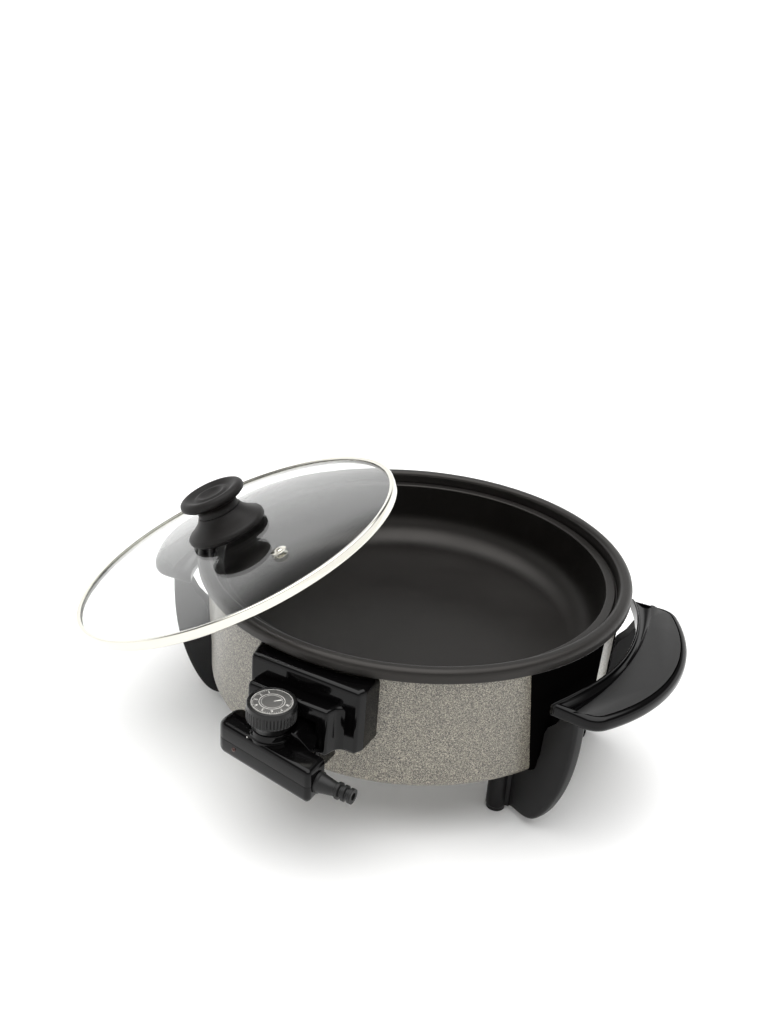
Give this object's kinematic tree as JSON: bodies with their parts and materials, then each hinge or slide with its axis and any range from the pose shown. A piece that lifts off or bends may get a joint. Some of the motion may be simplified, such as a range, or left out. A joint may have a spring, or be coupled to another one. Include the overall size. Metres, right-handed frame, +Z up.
{
  "type": "electric skillet",
  "caption": "Round electric skillet on legs with side handles, a plug-in temperature controller with a dial, and a loose glass lid that leans on the rim.",
  "frame": {"origin": "point on the standing surface, straight below the pan's centre", "axes": "+Z up; the pan's axis is Z; the handles are on +X and -X; the controller socket faces -Y"},
  "size_m": [0.4453, 0.3813, 0.212],
  "materials": {
    "aluminium": "mill finish",
    "band_steel": "polished steel band",
    "brass": "bright",
    "ceramic": "unglazed white ceramic",
    "dial_face": "satin silver disc with plain printed rings and marks",
    "element_sheath": "heat-darkened steel sheath",
    "glass": "clear tempered glass",
    "lamp": "clear lamp envelope",
    "lens": "clear moulded lens",
    "nonstick": "dark satin non-stick coating on cast aluminium",
    "phenolic_gloss": "gloss black moulding",
    "phenolic_matt": "matt black moulding",
    "phenolic_satin": "satin black moulding",
    "rubber": "matt",
    "silicone": "matt",
    "speckle": "baked enamel with a fine pale and dark speckle",
    "steel": "plain sheet or bar steel",
    "terminal_white": "moulded terminal block"
  },
  "bodies": {
    "base": {"base_nut": "steel", "base_plate": "steel", "centre_stud": "steel", "element_clamp_1": "steel", "element_clamp_2": "steel", "element_clamp_3": "steel", "foot_pad_back_left": "rubber", "foot_pad_back_right": "rubber", "foot_pad_front_left": "rubber", "foot_pad_front_right": "rubber", "foot_screw_back_left": "steel", "foot_screw_back_right": "steel", "foot_screw_front_left": "steel", "foot_screw_front_right": "steel", "handle_bracket_left": "phenolic_gloss", "handle_bracket_right": "phenolic_gloss", "handle_left": "phenolic_satin", "handle_right": "phenolic_satin", "heat_reflector": "aluminium", "heating_element": "element_sheath", "leg_back_left": "phenolic_matt", "leg_back_right": "phenolic_matt", "leg_front_left": "phenolic_matt", "leg_front_right": "phenolic_matt", "outer_shell": "speckle", "pan": "nonstick", "probe_guide_tube": "aluminium", "reflector_spacer": "steel", "socket_housing": "phenolic_gloss", "socket_screw_1": "steel", "socket_screw_2": "steel", "terminal_insulator": "ceramic", "terminal_pin_left": "steel", "terminal_pin_right": "steel"},
    "controller": {"controller_base": "phenolic_gloss", "controller_cover": "phenolic_gloss", "probe_rod": "steel", "contact_sleeve_left": "brass", "contact_sleeve_right": "brass", "thermostat_frame": "steel", "bimetal_strip": "steel", "contact_spring": "brass", "contact_stack": "ceramic", "terminal_block": "terminal_white", "pilot_lens": "lens", "pilot_lamp": "lamp", "strain_relief": "rubber", "controller_screw_1": "steel", "controller_screw_2": "steel"},
    "dial": {"dial_knob": "phenolic_satin", "dial_plate": "dial_face", "dial_spindle": "steel"},
    "lid": {"lid_glass": "glass", "lid_rim_band": "band_steel", "vent_eyelet": "steel", "knob_skirt": "phenolic_matt", "lid_knob": "phenolic_matt", "knob_washer": "silicone", "knob_screw": "steel"}
  },
  "joints": [
    {"name": "controller_slide", "type": "slide", "parent": "base", "child": "controller", "axis": [0, -1, 0], "range_m": [0, 0.12]},
    {"name": "dial_turn", "type": "hinge", "parent": "controller", "child": "dial", "pos_m": [0.001, -0.196, 0.11], "axis": [0, 0, 1], "range_deg": [-270, 0]},
    {"name": "lid_lift", "type": "slide", "parent": "base", "child": "lid", "axis": [0, 0, 1], "range_m": [0, 0.2]}
  ]
}
